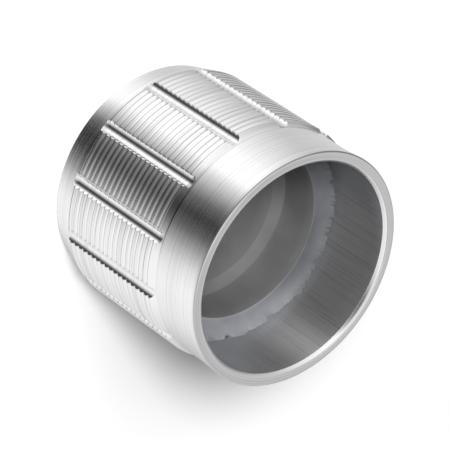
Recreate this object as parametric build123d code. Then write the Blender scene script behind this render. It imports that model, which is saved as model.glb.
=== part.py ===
from build123d import *
import math
import os

# A turned aluminium potentiometer knob, in millimetres. It stands on its closed end at z = 0,
# on the Z axis, with its mouth up. Profiles are drawn in the XZ plane and revolved about Z.

# Overall
rim_radius = 12.5
knob_height = 23.0
end_wall = 2.5

# Closed end and plain back band, which widens from the end to the ribs
end_step = 0.7
end_chamfer = 0.35
back_band_length = 3.3
back_band_swell = 0.1

# Ribbed zone
rib_count = 19
rib_pitch = 0.7
rib_height = 0.22
rib_stand_out = 0.2

# Long flutes cut through the ribs
flute_count = 13
flute_depth = 0.45
flute_nose_radius = 0.85
flute_overrun = 0.3
flute_phase = 0.0

# Relief groove and collar
relief_depth = 0.55
relief_length = 0.45
collar_step = 0.38
rim_flare_length = 2.6

# Rim and bore
rim_edge_break = 0.15
rim_wall = 1.25
lip_chamfer = 0.35

# Insert
insert_clearance = 0.1
insert_height = 12.1
insert_edge_break = 0.3
cup_wall = 2.0
cup_draft = 1.5
cup_depth = 5.1
cup_corner = 0.9
socket_radius = 3.0
socket_depth = 6.4
socket_lead_in = 0.3

# Adhesive
adhesive_inner_lip = 0.08
adhesive_rise = 0.9

# Radii that follow from the rim
end_radius = rim_radius - end_step
back_band_radius = rim_radius + back_band_swell
rib_crest_radius = rim_radius + rib_stand_out
collar_radius = rib_crest_radius - collar_step
bore_radius = rim_radius - rim_wall
insert_radius = bore_radius - insert_clearance
cup_mouth_radius = insert_radius - cup_wall

# Heights that several shapes share
ribs_start = back_band_length
ribs_end = ribs_start + rib_count * rib_pitch
insert_bottom = end_wall
insert_top = insert_bottom + insert_height


def turned(points):
    """Close an outline of (radius, height) points and turn it once round the Z axis."""
    face = make_face(Polyline(*points, close=True))
    return revolve(Plane.XZ * face, axis=Axis.Z, revolution_arc=360)


def rib_edge_points():
    """Walk up the ribbed zone from valley to crest, one pitch for each rib, to the last crest."""
    valley_radius = rib_crest_radius - rib_height
    points = []
    for number in range(rib_count):
        foot = ribs_start + number * rib_pitch
        points.append((valley_radius, foot))
        points.append((rib_crest_radius, foot + rib_pitch / 2))
    return points


def shell_blank():
    """The shell before its flutes are cut: outside from the closed end up, then down the bore."""
    closed_end = [
        (0, 0),
        (end_radius - end_chamfer, 0),
        (end_radius, end_chamfer),
        (back_band_radius, back_band_length),
    ]
    # The last rib runs straight down into the relief groove.
    collar = [
        (rib_crest_radius - relief_depth, ribs_end),
        (collar_radius, ribs_end + relief_length),
        (collar_radius, knob_height - rim_flare_length),
    ]
    rim = [
        (rim_radius, knob_height - rim_edge_break),
        (rim_radius - rim_edge_break, knob_height),
        (bore_radius + lip_chamfer, knob_height),
        (bore_radius, knob_height - lip_chamfer),
    ]
    bore = [(bore_radius, end_wall), (0, end_wall)]
    return turned(closed_end + rib_edge_points() + collar + rim + bore)


def flute_cutter():
    """The round-nosed cutter's path at angle zero: a round bar along Z, sunk to the flute's depth."""
    bar_centre = rib_crest_radius - flute_depth + flute_nose_radius
    length = ribs_end - ribs_start + flute_overrun
    start = (bar_centre, 0, ribs_start - flute_overrun)
    return Pos(*start) * extrude(Circle(flute_nose_radius), length)


def knob_shell():
    """The turned body, one piece of aluminium."""
    cutter = flute_cutter()
    step = 360 / flute_count
    cutters = [Rot(0, 0, flute_phase + number * step) * cutter for number in range(flute_count)]
    return shell_blank() - cutters


def shaft_insert():
    """The moulded insert: a cup that faces the mouth, with the shaft socket in its floor."""
    floor = insert_top - cup_depth
    corner_top = floor + cup_corner
    corner_radius = cup_mouth_radius - (insert_top - corner_top) * math.tan(math.radians(cup_draft))
    socket_bottom = floor - socket_depth
    return turned(
        [
            (0, insert_bottom),
            (insert_radius - insert_edge_break, insert_bottom),
            (insert_radius, insert_bottom + insert_edge_break),
            (insert_radius, insert_top),
            (cup_mouth_radius, insert_top),
            (corner_radius, corner_top),
            (corner_radius - cup_corner, floor),
            (socket_radius + socket_lead_in, floor),
            (socket_radius, floor - socket_lead_in),
            (socket_radius, socket_bottom),
            (0, socket_bottom),
        ]
    )


def adhesive_ring():
    """The ring of adhesive on the insert's rim, highest where it climbs the bore."""
    return turned(
        [
            (cup_mouth_radius, insert_top),
            (bore_radius, insert_top),
            (bore_radius, insert_top + adhesive_rise),
            (cup_mouth_radius, insert_top + adhesive_inner_lip),
        ]
    )


os.makedirs("parts", exist_ok=True)
nodes = {
    "knob_shell": knob_shell(),
    "shaft_insert": shaft_insert(),
    "adhesive_ring": adhesive_ring(),
}
for name, shape in nodes.items():
    export_step(shape, f"parts/{name}.step")
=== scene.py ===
import math

import bmesh
import bpy
from mathutils import Matrix, Vector, noise


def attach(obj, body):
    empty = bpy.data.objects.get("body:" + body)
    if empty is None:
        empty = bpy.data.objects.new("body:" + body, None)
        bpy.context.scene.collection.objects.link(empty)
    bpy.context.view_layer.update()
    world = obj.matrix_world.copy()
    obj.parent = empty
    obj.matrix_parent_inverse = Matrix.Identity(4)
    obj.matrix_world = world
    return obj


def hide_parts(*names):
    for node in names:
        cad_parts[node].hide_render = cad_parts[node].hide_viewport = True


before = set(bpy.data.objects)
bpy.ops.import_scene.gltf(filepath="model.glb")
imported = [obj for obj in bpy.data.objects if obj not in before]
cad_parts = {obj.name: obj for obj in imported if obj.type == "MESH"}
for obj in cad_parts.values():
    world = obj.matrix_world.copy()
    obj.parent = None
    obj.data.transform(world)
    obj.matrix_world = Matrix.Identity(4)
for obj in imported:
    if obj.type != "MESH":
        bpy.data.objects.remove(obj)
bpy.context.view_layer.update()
mm = 0.001

# Shell. The body is one turned aluminium piece that stands here on its closed end. Nineteen
# rounded ribs are turned round it, and thirteen long flutes are milled through them with a
# round-nosed cutter. A relief groove ends the ribs, and a plain collar flares to the rim.
end_radius, end_edge = 11.8 * mm, 0.35 * mm
band_radius, ribs_foot = 12.6 * mm, 3.3 * mm
rib_count, rib_pitch = 19, 0.7 * mm
crest_radius, rib_depth, rib_end_taper = 12.7 * mm, 0.24 * mm, 0.3 * mm
ribs_head = ribs_foot + rib_count * rib_pitch
last_rib_falls = ribs_head - 0.36 * mm
flute_count, flute_floor, flute_nose, flute_overrun = 13, 12.25 * mm, 0.85 * mm, 0.3 * mm
flute_pitch = 2 * math.pi / flute_count
flute_start = ribs_foot - flute_overrun
relief_radius, relief_top = 12.15 * mm, 17.05 * mm
collar_radius, collar_root = 12.33 * mm, 0.04 * mm
flare_size, flare_start, flare_bend = 0.17 * mm, 0.45, 1.6
rim_radius, rim_height, rim_round = 12.5 * mm, 23.0 * mm, 0.16 * mm
bore_radius, bore_floor = 11.25 * mm, 2.5 * mm
inner_ring = 0.4 * mm

# Painted shade, from 0 to 1, put into the metal's colour: in the ribs' valleys and at their ends
# beside the flutes, on the shaded side of the groove, on the fine dark line round the rim's edge,
# and in the bore, which has one painted highlight up it.
valley_shade, valley_reach, rib_end_reach = 0.77, 0.07, 0.3
groove_shade, groove_reach = 0.95, 0.32 * mm
groove_turn, groove_width = math.radians(41), math.radians(14)
rim_line_shade, rim_line_fall, rim_line_reach = 0.8, 0.08 * mm, 0.075 * mm
bore_shade = 0.73
highlight_turn, highlight_width = math.radians(184), math.radians(11)
highlight_foot, highlight_rise = 14 * mm, 6 * mm

# Colours: the bright metal, and the dark tone that the painted shade runs to. Then the tool's
# marks: how many to a metre across the cut and along it, how far a ring climbs as the radius grows,
# and how deep they are.
bright_metal, shaded_metal = (0.91, 0.91, 0.92), (0.2, 0.2, 0.206)
ring_marks, ring_drift, ring_cone = 6200.0, 25.0, 0.7
honing_marks = (5000, 5000, 90)
mark_depth = 0.022 * mm


def flute_spot(place, radius):
    """A spot on the flute's wall as (angle, radius): place runs from -1 to 1 between its edges."""
    centre = flute_floor + flute_nose
    edge_x = (radius ** 2 + centre ** 2 - flute_nose ** 2) / (2 * centre)
    edge_y = math.sqrt(radius ** 2 - edge_x ** 2)
    swing = place * math.atan2(edge_y, centre - edge_x)
    x, y = centre - flute_nose * math.cos(swing), flute_nose * math.sin(swing)
    return math.atan2(y, x), math.hypot(x, y)


def rib_lift(step, narrow):
    """How high a rib stands, from 0 in the valley to 1 on top. Its ends at a flute are narrower."""
    side = abs(2 * step - 1)
    flatness, fullness = (1.8, 0.8) if narrow else (2.0, 0.72)
    return (1 - side ** flatness) ** fullness


def rib_rows():
    """One rib after another, each broad and round on top. The last one falls into the groove."""
    rows = []
    steps = (0.0, 0.035, 0.09, 0.18, 0.3, 0.42, 0.5, 0.58, 0.7, 0.82, 0.91, 0.965)
    for rib in range(rib_count):
        foot = ribs_foot + rib * rib_pitch
        for step in steps:
            if rib < rib_count - 1 or step <= 0.5:
                radius = crest_radius - rib_depth * (1 - rib_lift(step, False))
                rows.append((foot + step * rib_pitch, radius, True))
    for fall in (0.05, 0.12, 0.22, 0.34):
        rows.append((last_rib_falls + fall * mm, crest_radius - fall * mm, True))
    return rows


def band_at(height):
    """The plain band's radius at a height. It swells a little towards the ribs."""
    return end_radius + (band_radius - end_radius) * (height - end_edge) / (ribs_foot - end_edge)


def shell_rows():
    """The turned outline as (height, radius, cut by the flutes), from the end round to the bore."""
    rows = [(0.0, inner_ring, False)]
    rows += [(0.0, radius * mm, False) for radius in (3.0, 6.0, 9.0)]
    for turn in range(5):
        angle = math.radians(90) * turn / 4
        height = end_edge * (1 - math.cos(angle))
        rows.append((height, end_radius - end_edge * (1 - math.sin(angle)), False))
    for step in range(1, 6):
        share = step / 6
        height = end_edge + (flute_start - end_edge) * share
        rows.append((height, band_at(height), False))
    rows.append((flute_start, band_at(flute_start), False))
    rows.append((flute_start + 0.03 * mm, band_at(flute_start) + 0.004 * mm, True))
    rows.append((ribs_foot - 0.04 * mm, band_radius, True))
    rows += rib_rows()
    # The relief groove, whose floor ends the ribs, and the collar beyond it.
    for rise, out in ((0.1, 0.08), (0.16, 0.04), (0.27, 0.06)):
        rows.append((ribs_head + rise * mm, relief_radius + out * mm, False))
    rows.append((relief_top - 0.06 * mm, relief_radius + 0.16 * mm, False))
    for step in range(13):
        share = step / 12
        height = relief_top + (rim_height - rim_round - relief_top) * share
        flare = flare_size * max(0.0, (share - flare_start) / (1 - flare_start)) ** flare_bend
        rows.append((height, collar_radius + collar_root * (1 - share) ** 3 + flare, False))
    for turn in range(1, 4):
        angle = math.radians(90) * turn / 3
        height = rim_height - rim_round * (1 - math.sin(angle))
        rows.append((height, rim_radius - rim_round * (1 - math.cos(angle)), False))
    # The lip's chamfer, soft at both edges, and then the bore.
    for out, fall in ((0.37, 0.0), (0.31, 0.03), (0.03, 0.3), (0.0, 0.38)):
        rows.append((rim_height - fall * mm, bore_radius + out * mm, False))
    for step in range(1, 9):
        rows.append((rim_height - (rim_height - bore_floor) * step / 8, bore_radius, False))
    rows += [(bore_floor, 6.0 * mm, False), (bore_floor, inner_ring, False)]
    return rows


def mark_spot(spot, layers, height, radius, cut):
    """Mark a point of the shell: its painted shade and highlight, and whether it is in the bore or
    among the ribs.
    """
    turn = math.atan2(spot.co.y, spot.co.x)
    bored = radius < bore_radius + 0.01 * mm and height > bore_floor
    # Painted shade on one side of the relief groove.
    if abs(height - ribs_head) < groove_reach:
        spot[layers["shade"]] = groove_shade * math.exp(-((turn - groove_turn) / groove_width) ** 2)
    # A painted dark line round the rim's outer edge, darkest on one side.
    on_rim_line = abs(height - rim_height + rim_line_fall) < rim_line_reach
    if on_rim_line and radius > rim_radius - 0.12 * mm:
        spot[layers["shade"]] = rim_line_shade * min(1.0, max(0.1, 0.4 + spot.co.x / radius))
    # The bore is painted dark, with one painted bright highlight running up it towards the mouth.
    if bored:
        off_highlight = turn % (2 * math.pi) - highlight_turn
        bright = min(1.0, max(0.0, (height - highlight_foot) / highlight_rise))
        bright *= math.exp(-(off_highlight / highlight_width) ** 2)
        spot[layers["shade"]] = bore_shade - bore_shade * bright
    spot[layers["bored"]] = float(bored)
    spot[layers["ribbed"]] = float(cut or ribs_head < height < relief_top - 0.02 * mm)


def shell_ring(skin, layers, height, radius, cut):
    """One row of points round the shell, closest together where the flutes are."""
    ribbed = cut and ribs_foot - 0.01 * mm < height < ribs_head - 0.4 * mm
    phase = (height - ribs_foot) / rib_pitch
    to_valley = abs(phase - round(phase))
    # Painted shade along the ribs' valleys, and a wider patch of it at the rib ends beside the
    # flutes.
    valley = valley_shade * max(0.0, 1 - to_valley / valley_reach) if ribbed else 0.0
    rib_end_shade = valley_shade * max(0.0, 1 - to_valley / rib_end_reach) if ribbed else 0.0
    tip = crest_radius - rib_depth * (1 - rib_lift(phase % 1, True)) if ribbed else radius
    beside_flutes = flute_start - 0.1 * mm < height < ribs_head + 0.15 * mm
    reach = max(tip, flute_floor + 0.03 * mm) if beside_flutes else band_radius
    wall_steps, land_steps = 6, 9
    edge = flute_spot(1, reach)[0]
    taper = rib_end_taper / crest_radius
    land = flute_pitch - 2 * edge - 2 * taper
    ring = []
    for flute in range(flute_count):
        for number in range(-wall_steps, wall_steps + 1):
            turn, here = flute_spot(number / wall_steps, reach)
            turn += flute * flute_pitch
            here = here if cut else radius
            ring.append(skin.verts.new((here * math.cos(turn), here * math.sin(turn), height)))
            ring[-1][layers["shade"]] = rib_end_shade * (abs(number) == wall_steps)
        for number in range(land_steps + 1):
            turn = edge + taper + land * number / land_steps
            turn += flute * flute_pitch
            ring.append(skin.verts.new((radius * math.cos(turn), radius * math.sin(turn), height)))
            ring[-1][layers["shade"]] = valley
    for spot in ring:
        mark_spot(spot, layers, height, radius, cut)
    return ring


def join_rings(skin, rings):
    """Skin over a stack of rings that have the same number of points."""
    for lower, upper in zip(rings, rings[1:]):
        for number in range(len(lower)):
            beside = (number + 1) % len(lower)
            skin.faces.new((lower[number], lower[beside], upper[beside], upper[number]))


def finished_mesh(skin, name, corner):
    """Smooth a closed skin, except at edges sharper than corner degrees, and make it a mesh."""
    for face in skin.faces:
        face.smooth = True
    bmesh.ops.recalc_face_normals(skin, faces=skin.faces)
    mesh = bpy.data.meshes.new(name)
    skin.to_mesh(mesh)
    skin.free()
    mesh.set_sharp_from_angle(angle=math.radians(corner))
    return mesh


def shell_mesh():
    """The whole body as one closed skin."""
    skin = bmesh.new()
    layers = {name: skin.verts.layers.float.new(name) for name in ("shade", "bored", "ribbed")}
    rings = [shell_ring(skin, layers, *row) for row in shell_rows()]
    join_rings(skin, rings)
    for ring in (rings[0], rings[-1]):
        centre = skin.verts.new((0, 0, ring[0].co.z))
        for number in range(len(ring)):
            skin.faces.new((centre, ring[number], ring[(number + 1) % len(ring)]))
    return finished_mesh(skin, "knob_body", corner=32)


def feed(tree, node, sockets):
    """Link or set the sockets that are named."""
    for name, value in sockets.items():
        if isinstance(value, bpy.types.NodeSocket):
            tree.links.new(value, node.inputs[name])
        else:
            node.inputs[name].default_value = value


def add_node(tree, kind, sockets, **options):
    """Add a shader node, choose its options, and link or set its sockets."""
    node = tree.nodes.new("ShaderNode" + kind)
    for option, choice in options.items():
        setattr(node, option, choice)
    feed(tree, node, sockets)
    return node


def work_out(tree, operation, *values):
    """The result of one sum."""
    return add_node(tree, "Math", dict(enumerate(values)), operation=operation).outputs[0]


def regrade(tree, value, low, high, start=0.0, end=1.0, **options):
    """A value that goes from low to high while the one given goes from start to end."""
    sockets = {"Value": value, "From Min": start, "From Max": end, "To Min": low, "To Max": high}
    return add_node(tree, "MapRange", sockets, **options).outputs[0]


def tone_between(tree, value, low, high, start=0.0, end=1.0):
    """A colour that goes from low to high while the value goes from start to end."""
    ramp = add_node(tree, "ValToRGB", {"Fac": value})
    first, last = ramp.color_ramp.elements
    first.position, first.color = start, (*low, 1)
    last.position, last.color = end, (*high, 1)
    return ramp.outputs["Color"]


def scaled(tree, colour, scale):
    """A colour made brighter or darker."""
    return add_node(tree, "VectorMath", {0: colour, "Scale": scale}, operation="SCALE").outputs[0]


def turned_aluminium():
    """Bright aluminium with the fine rings that the tool leaves round the axis. The bore has fine
    lines along it instead, and the ribs are cut smoother than the rest."""
    metal = bpy.data.materials.new("turned_aluminium")
    metal.use_nodes = True
    tree = metal.node_tree
    shade, bored, ribbed = (
        add_node(tree, "Attribute", {}, attribute_name=name).outputs["Fac"]
        for name in ("shade", "bored", "ribbed")
    )
    where = add_node(tree, "TexCoord", {}).outputs["Object"]
    place = add_node(tree, "SeparateXYZ", {0: where}).outputs
    flat = add_node(tree, "CombineXYZ", {"X": place["X"], "Y": place["Y"]}).outputs[0]
    off_axis = add_node(tree, "VectorMath", {0: flat}, operation="LENGTH").outputs["Value"]
    across = work_out(tree, "MULTIPLY_ADD", off_axis, ring_cone, place["Z"])
    turning = {axis: work_out(tree, "MULTIPLY", place[axis], ring_drift) for axis in ("X", "Y")}
    turning["Z"] = work_out(tree, "MULTIPLY", across, ring_marks)
    tool_path = add_node(tree, "CombineXYZ", turning).outputs[0]
    honing = add_node(tree, "Mapping", {"Scale": honing_marks, "Vector": where}).outputs[0]
    paths = {"Factor": bored, 4: tool_path, 5: honing}
    cut_path = add_node(tree, "Mix", paths, data_type="VECTOR").outputs[1]
    cuts = {"Scale": 1.0, "Detail": 2.0, "Roughness": 0.6, "Vector": cut_path}
    marks = add_node(tree, "TexNoise", cuts).outputs["Fac"]
    dull = regrade(tree, marks, 0.16, 0.24, 0.3, 0.7)
    lines = regrade(tree, marks, 0.78, 1.0, 0.3, 0.5)
    relief = {"Strength": regrade(tree, ribbed, 1.0, 0.2), "Distance": mark_depth, "Height": marks}
    round_axis = add_node(tree, "Tangent", {}, direction_type="RADIAL", axis="Z")
    # The base colour carries the painted shade and painted highlight of the shade layer, and the
    # tool's lines.
    feed(tree, tree.nodes["Principled BSDF"], {
        "Base Color": scaled(tree, tone_between(tree, shade, bright_metal, shaded_metal), lines),
        "Metallic": regrade(tree, bored, 1.0, 0.7),
        "Roughness": work_out(tree, "MULTIPLY", dull, regrade(tree, ribbed, 1.0, 0.5)),
        "Anisotropic": regrade(tree, ribbed, 0.6, 0.0),
        "Anisotropic Rotation": 0.25,
        "Tangent": round_axis.outputs[0],
        "Normal": add_node(tree, "Bump", relief).outputs[0],
    })
    return metal


def set_out(name, mesh, finish):
    """Put a mesh into the scene in its finish."""
    mesh.materials.append(finish)
    piece = bpy.data.objects.new(name, mesh)
    bpy.context.scene.collection.objects.link(piece)
    return piece


knob_body = set_out("knob_body", shell_mesh(), turned_aluminium())
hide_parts("knob_shell")
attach(knob_body, "root")

# Insert. A grey moulded plastic cup is pressed into the shell. It opens to the mouth, and the
# shaft socket goes down from the middle of its floor.
insert_radius, insert_top, insert_round = 11.15 * mm, 14.6 * mm, 0.3 * mm
cup_mouth, cup_mouth_round = 9.15 * mm, 0.1 * mm
cup_foot, cup_foot_top, cup_floor = 9.04 * mm, 10.4 * mm, 9.5 * mm
socket_radius, socket_floor, socket_lead_in = 3.0 * mm, 3.1 * mm, 0.3 * mm
plastic_dark, plastic_pale = (0.12, 0.12, 0.122), (0.15, 0.15, 0.152)


def insert_rows():
    """Half outline as (radius, height), from under the cup, up its outside and into the socket."""
    rows = [(inner_ring, bore_floor), (6.0 * mm, bore_floor)]
    rows += [(insert_radius - insert_round, bore_floor)]
    rows += [(insert_radius - 0.09 * mm, bore_floor + 0.09 * mm)]
    rows += [(insert_radius, bore_floor + insert_round)]
    rows += [(insert_radius, 8.0 * mm), (insert_radius, insert_top)]
    rows += [(cup_mouth + cup_mouth_round, insert_top)]
    rows += [(cup_mouth + 0.03 * mm, insert_top - 0.03 * mm)]
    rows += [(cup_mouth, insert_top - cup_mouth_round)]
    for step in range(1, 5):
        share = step / 4
        wall = (cup_foot_top - insert_top + cup_mouth_round) * share
        height = insert_top - cup_mouth_round + wall
        rows.append((cup_mouth + (cup_foot - cup_mouth) * share, height))
    # The cup's wall meets its floor in a straight 45 degree foot, soft at both edges.
    for rise, back in ((0.88, 0.005), (0.82, 0.05), (0.08, 0.79), (0.015, 0.87), (0.0, 0.93)):
        rows.append((cup_foot - back * mm, cup_floor + rise * mm))
    rows += [(6.6 * mm, cup_floor), (5.0 * mm, cup_floor)]
    rows += [(socket_radius + socket_lead_in, cup_floor)]
    rows += [(socket_radius + 0.08 * mm, cup_floor - 0.08 * mm)]
    rows += [(socket_radius, cup_floor - socket_lead_in)]
    rows += [(socket_radius, 6.0 * mm), (socket_radius, socket_floor), (inner_ring, socket_floor)]
    return rows


def insert_mesh():
    """The insert's half outline turned into a closed skin."""
    skin = bmesh.new()
    count = 192
    turns = [2 * math.pi * number / count for number in range(count)]
    rings = []
    for radius, height in insert_rows():
        spots = [(radius * math.cos(turn), radius * math.sin(turn), height) for turn in turns]
        rings.append([skin.verts.new(spot) for spot in spots])
    join_rings(skin, rings)
    skin.faces.new(list(reversed(rings[0])))
    skin.faces.new(rings[-1])
    return finished_mesh(skin, "cup_insert", corner=35)


def grey_plastic():
    """Mid grey moulded plastic with a faint mottle and a soft, slightly uneven sheen."""
    plastic = bpy.data.materials.new("grey_plastic")
    plastic.use_nodes = True
    tree = plastic.node_tree
    where = add_node(tree, "TexCoord", {}).outputs["Object"]
    spots = {"Scale": 260.0, "Detail": 3.0, "Vector": where}
    mottle = add_node(tree, "TexNoise", spots).outputs["Fac"]
    grain = add_node(tree, "TexNoise", {"Scale": 4000.0, "Vector": where}).outputs["Fac"]
    relief = {"Strength": 0.1, "Distance": 0.02 * mm, "Height": grain}
    feed(tree, tree.nodes["Principled BSDF"], {
        "Base Color": tone_between(tree, mottle, plastic_dark, plastic_pale, 0.3, 0.7),
        "Roughness": regrade(tree, mottle, 0.38, 0.55),
        "Normal": add_node(tree, "Bump", relief).outputs[0],
    })
    return plastic


cup_insert = set_out("cup_insert", insert_mesh(), grey_plastic())
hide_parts("shaft_insert")
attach(cup_insert, "root")

# Adhesive. A bead of bluish grey adhesive lies on the insert's rim, where it was run round by
# hand. It climbs the bore a little, and its upper edge is ragged there.
ring_inner, ring_rise = 9.2 * mm, 0.9 * mm
ragged_edge = ((300, 0.4), (900, 0.3), (2200, 0.28), (5000, 0.13))
ripple_scale, ripple_size = 600, 0.012 * mm
pale_side = math.radians(140)
adhesive_dark, adhesive_pale = (0.195, 0.202, 0.22), (0.255, 0.263, 0.28)


def bead_outline(turn):
    """The bead's section at one turn as (radius, height), closed along the insert and the bore."""
    steps, wander = 14, 0.0
    for scale, size in ragged_edge:
        spot = Vector((math.cos(turn), math.sin(turn), 0.3)) * bore_radius * scale
        wander += size * mm * noise.noise(spot)
    points = [(ring_inner, insert_top), (ring_inner - 0.03 * mm, insert_top + 0.05 * mm)]
    points.append((ring_inner + 0.02 * mm, insert_top + 0.12 * mm))
    for step in range(1, steps + 1):
        share = step / steps
        radius = ring_inner + (bore_radius - ring_inner) * share
        climb = (ring_rise - 0.25 * mm) * share ** 2.6
        height = insert_top + 0.13 * mm + climb + wander * share ** 14
        spot = Vector((radius * math.cos(turn), radius * math.sin(turn), 0)) * ripple_scale
        points.append((radius, height + ripple_size * noise.noise(spot)))
    points[-1] = (bore_radius, points[-1][1] + 0.05 * mm)
    points.append((bore_radius, insert_top))
    return points


def adhesive_mesh():
    """A ring with a crisp rounded inner edge and an outer edge that wanders up the bore."""
    skin = bmesh.new()
    count = 960
    rings = []
    for number in range(count):
        turn = 2 * math.pi * number / count
        rings.append([
            skin.verts.new((radius * math.cos(turn), radius * math.sin(turn), height))
            for radius, height in bead_outline(turn)
        ])
    for number in range(count):
        here, beside = rings[number], rings[(number + 1) % count]
        for step in range(len(here)):
            after = (step + 1) % len(here)
            skin.faces.new((here[step], beside[step], beside[after], here[after]))
    return finished_mesh(skin, "adhesive_bead", corner=60)


def cured_adhesive():
    """Cured adhesive: cool grey, smooth and a little glossy, with cloudy patches. It is paler
    towards one side."""
    cured = bpy.data.materials.new("cured_adhesive")
    cured.use_nodes = True
    tree = cured.node_tree
    where = add_node(tree, "TexCoord", {}).outputs["Object"]
    patches = {"Scale": 420.0, "Detail": 4.0, "Vector": where}
    cloud = add_node(tree, "TexNoise", patches).outputs["Fac"]
    pale_way = {0: where, 1: (math.cos(pale_side), math.sin(pale_side), 0)}
    toward_pale = add_node(tree, "VectorMath", pale_way, operation="DOT_PRODUCT").outputs["Value"]
    dark_from, pale_from = 0.2 * ring_inner, 0.95 * ring_inner
    paleness = regrade(tree, toward_pale, 0.55, 1.0, dark_from, pale_from, interpolation_type="SMOOTHSTEP")
    shade = tone_between(tree, cloud, adhesive_dark, adhesive_pale, 0.3, 0.7)
    swell = {"Strength": 0.25, "Distance": 0.05 * mm, "Height": cloud}
    feed(tree, tree.nodes["Principled BSDF"], {
        "Base Color": scaled(tree, shade, paleness),
        "Roughness": regrade(tree, cloud, 0.25, 0.4),
        "Normal": add_node(tree, "Bump", swell).outputs[0],
    })
    return cured


adhesive_bead = set_out("adhesive_bead", adhesive_mesh(), cured_adhesive())
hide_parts("adhesive_ring")
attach(adhesive_bead, "root")

# Floor. The knob stands on a plain white sheet of paper, which keeps its shadow. What the camera
# sees of the paper is the whitest tone, and what lights the knob from below is softer.
floor_reach, floor_shown, floor_lit = 3.0, 1.0, 0.8


def sweep_mesh():
    """One flat sheet, far wider than the knob."""
    sheet = bmesh.new()
    bmesh.ops.create_grid(sheet, x_segments=8, y_segments=8, size=floor_reach)
    mesh = bpy.data.meshes.new("floor_sweep")
    sheet.to_mesh(mesh)
    sheet.free()
    return mesh


def seen_directly(tree):
    """1 for a ray that is seen, straight, mirrored or through glass, and 0 for one that lights."""
    ray = add_node(tree, "LightPath", {}).outputs
    either = work_out(tree, "MAXIMUM", ray["Is Camera Ray"], ray["Is Glossy Ray"])
    return work_out(tree, "MAXIMUM", either, ray["Is Transmission Ray"])


def sweep_paper():
    """White paper."""
    paper = bpy.data.materials.new("sweep_paper")
    paper.use_nodes = True
    tree = paper.node_tree
    tree.nodes.clear()
    lit, shown = (
        add_node(tree, "BsdfDiffuse", {"Color": (tone, tone, tone, 1)}).outputs[0]
        for tone in (floor_lit, floor_shown)
    )
    pick = add_node(tree, "MixShader", {0: seen_directly(tree), 1: lit, 2: shown}).outputs[0]
    add_node(tree, "OutputMaterial", {"Surface": pick})
    return paper


floor_sweep = set_out("floor_sweep", sweep_mesh(), sweep_paper())
floor_sweep.visible_glossy = False

# Light. A key lamp and a softer one throw the shadow, and the room gives a faint light from all
# round. The metal mirrors a studio tent of white cloth with grey and black panels, which nothing
# else sees.
tent_radius, tent_gain = 0.9, 1.16

# The cloth's tones round the knob, as (angle in degrees, tone), in five sets from the floor up.
tent_floor = (
    (0, 0.88), (14, 0.48), (28, 0.13), (43, 0.03), (60, 0.04), (76, 0.2), (92, 0.6), (110, 0.86),
    (170, 0.86), (215, 0.62), (285, 0.62), (320, 0.92), (345, 1.0),
)
tent_low = (
    (0, 0.86), (14, 0.45), (28, 0.13), (43, 0.03), (58, 0.12), (76, 0.46), (92, 0.75), (112, 0.86),
    (150, 0.76), (200, 0.4), (225, 0.64), (285, 0.53), (315, 0.75), (340, 1.0),
)
tent_middle = (
    (0, 1.0), (12, 0.55), (24, 0.26), (36, 0.14), (48, 0.1), (58, 0.18), (68, 0.38), (80, 0.62),
    (92, 0.8), (130, 0.8), (170, 0.6), (195, 0.38), (215, 0.3), (245, 0.28), (275, 0.27),
    (295, 0.42), (320, 0.82), (345, 1.0),
)
tent_high = (
    (0, 1.0), (12, 0.55), (24, 0.28), (36, 0.17), (46, 0.15), (56, 0.32), (68, 0.6), (80, 0.78),
    (92, 0.88), (130, 0.85), (160, 0.62), (190, 0.48), (235, 0.48), (260, 0.5), (290, 0.52),
    (320, 0.85), (345, 1.0),
)
tent_top = ((0, 1.0), (90, 0.95), (180, 0.95), (270, 1.0))
tent_sets = (tent_floor, tent_low, tent_middle, tent_high, tent_top)

# Where each set gives way to the next, from and to, as shares of the tent's radius.
tent_blends = ((-0.9, -0.7), (-0.45, -0.2), (0.05, 0.25), (0.85, 0.96))

# Near the floor the panels meet at a point that lies off the knob's axis, towards the black one.
pole_turn, pole_shift = math.radians(56), 0.22 * tent_radius
pole_blend = (-0.956, -0.7)

# Name, turn and rise in degrees, spread in degrees, strength.
lamps = (("key_lamp", 25.0, 43.0, 15.0, 2.75), ("soft_lamp", 10.0, 50.0, 22.0, 1.1))
room_light, room_shown = 0.14, 1.0


def panel_tones(tree, around, panels):
    """One set of panels round the knob, each tone running softly into the next."""
    ramp = add_node(tree, "ValToRGB", {"Fac": around})
    stops = ramp.color_ramp.elements
    stops[0].position = panels[0][0] / 360
    stops[1].position = panels[-1][0] / 360
    for angle, _ in panels[1:-1]:
        stops.new(angle / 360)
    for stop, (_, tone) in zip(stops, panels):
        stop.color = (tone, tone, tone, 1)
    return ramp.outputs["Color"]


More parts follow.
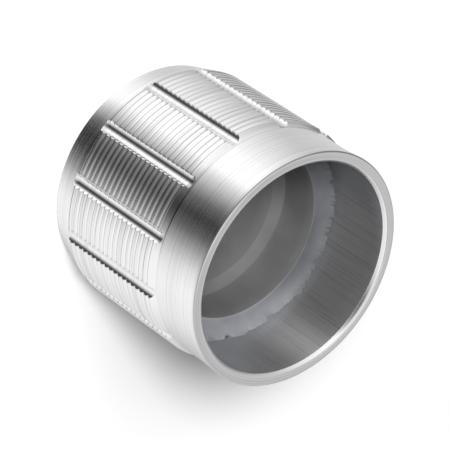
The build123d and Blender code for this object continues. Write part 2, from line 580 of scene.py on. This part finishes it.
def tent_cloth():
    """Glowing cloth whose panels run round the knob in five sets, one above the other."""
    cloth = bpy.data.materials.new("tent_cloth")
    cloth.use_nodes = True
    cloth.cycles.emission_sampling = "NONE"
    tree = cloth.node_tree
    tree.nodes.clear()
    where = add_node(tree, "TexCoord", {}).outputs["Object"]
    place = add_node(tree, "SeparateXYZ", {0: where}).outputs
    start, end = (share * tent_radius for share in pole_blend)
    shift = regrade(tree, place["Z"], pole_shift, 0.0, start, end)
    x = work_out(tree, "MULTIPLY_ADD", shift, math.cos(pole_turn), place["X"])
    y = work_out(tree, "MULTIPLY_ADD", shift, math.sin(pole_turn), place["Y"])
    turn = work_out(tree, "ARCTAN2", y, x)
    around = work_out(tree, "FRACT", work_out(tree, "MULTIPLY_ADD", turn, 1 / (2 * math.pi), 1.0))
    sets = [panel_tones(tree, around, panels) for panels in tent_sets]
    shown = sets[0]
    for above, (bottom, top) in zip(sets[1:], tent_blends):
        start, end = bottom * tent_radius, top * tent_radius
        level = regrade(tree, place["Z"], 0.0, 1.0, start, end, interpolation_type="SMOOTHSTEP")
        tones = {"Factor": level, 6: shown, 7: above}
        shown = add_node(tree, "Mix", tones, data_type="RGBA").outputs[2]
    glow = add_node(tree, "Emission", {"Color": shown, "Strength": tent_gain}).outputs[0]
    add_node(tree, "OutputMaterial", {"Surface": glow})
    return cloth


def tent_mesh():
    """A closed ball of cloth, far enough out that only direction counts."""
    ball = bmesh.new()
    bmesh.ops.create_uvsphere(ball, u_segments=96, v_segments=48, radius=tent_radius)
    mesh = bpy.data.meshes.new("light_tent")
    ball.to_mesh(mesh)
    ball.free()
    return mesh


light_tent = set_out("light_tent", tent_mesh(), tent_cloth())
light_tent.visible_camera = False
light_tent.visible_diffuse = False
light_tent.visible_transmission = False
light_tent.visible_volume_scatter = False
light_tent.visible_shadow = False

for lamp_name, lamp_turn, lamp_rise, lamp_spread, lamp_strength in lamps:
    lamp_data = bpy.data.lights.new(lamp_name, "SUN")
    lamp_data.angle = math.radians(lamp_spread)
    lamp_data.energy = lamp_strength
    lamp = bpy.data.objects.new(lamp_name, lamp_data)
    bpy.context.scene.collection.objects.link(lamp)
    turn, rise = math.radians(lamp_turn), math.radians(lamp_rise)
    across = math.cos(rise)
    lamp.location = (across * math.cos(turn), across * math.sin(turn), math.sin(rise))
    lamp.rotation_euler = lamp.location.to_track_quat("Z", "Y").to_euler()
    lamp.visible_glossy = False

world = bpy.data.worlds.new("studio")
bpy.context.scene.world = world
world.use_nodes = True
room = world.node_tree
room.nodes.clear()
soft, white = (
    add_node(room, "Background", {"Color": (1, 1, 1, 1), "Strength": strength}).outputs[0]
    for strength in (room_light, room_shown)
)
sky = add_node(room, "MixShader", {0: seen_directly(room), 1: soft, 2: white}).outputs[0]
add_node(room, "OutputWorld", {"Surface": sky})

# Camera. A long lens, looking down into the mouth from the side and rolled as the photograph is,
# since the knob lies tilted there and stands upright here.
camera_right = (-0.14604, -0.76974, 0.62143)
camera_up = (0.76839, -0.48391, -0.41882)
camera_back = (0.62310, 0.41634, 0.66213)
camera_spot = (0.20863, 0.13965, 0.23405)

camera_data = bpy.data.cameras.new("camera")
camera_data.lens = 273.04
camera_data.sensor_width = 36.0
camera_data.clip_start = 0.01
camera = bpy.data.objects.new("camera", camera_data)
bpy.context.scene.collection.objects.link(camera)
camera_turn = Matrix((camera_right, camera_up, camera_back)).transposed().to_4x4()
camera.matrix_world = Matrix.Translation(camera_spot) @ camera_turn
bpy.context.scene.camera = camera
bpy.context.scene.view_settings.view_transform = "Standard"
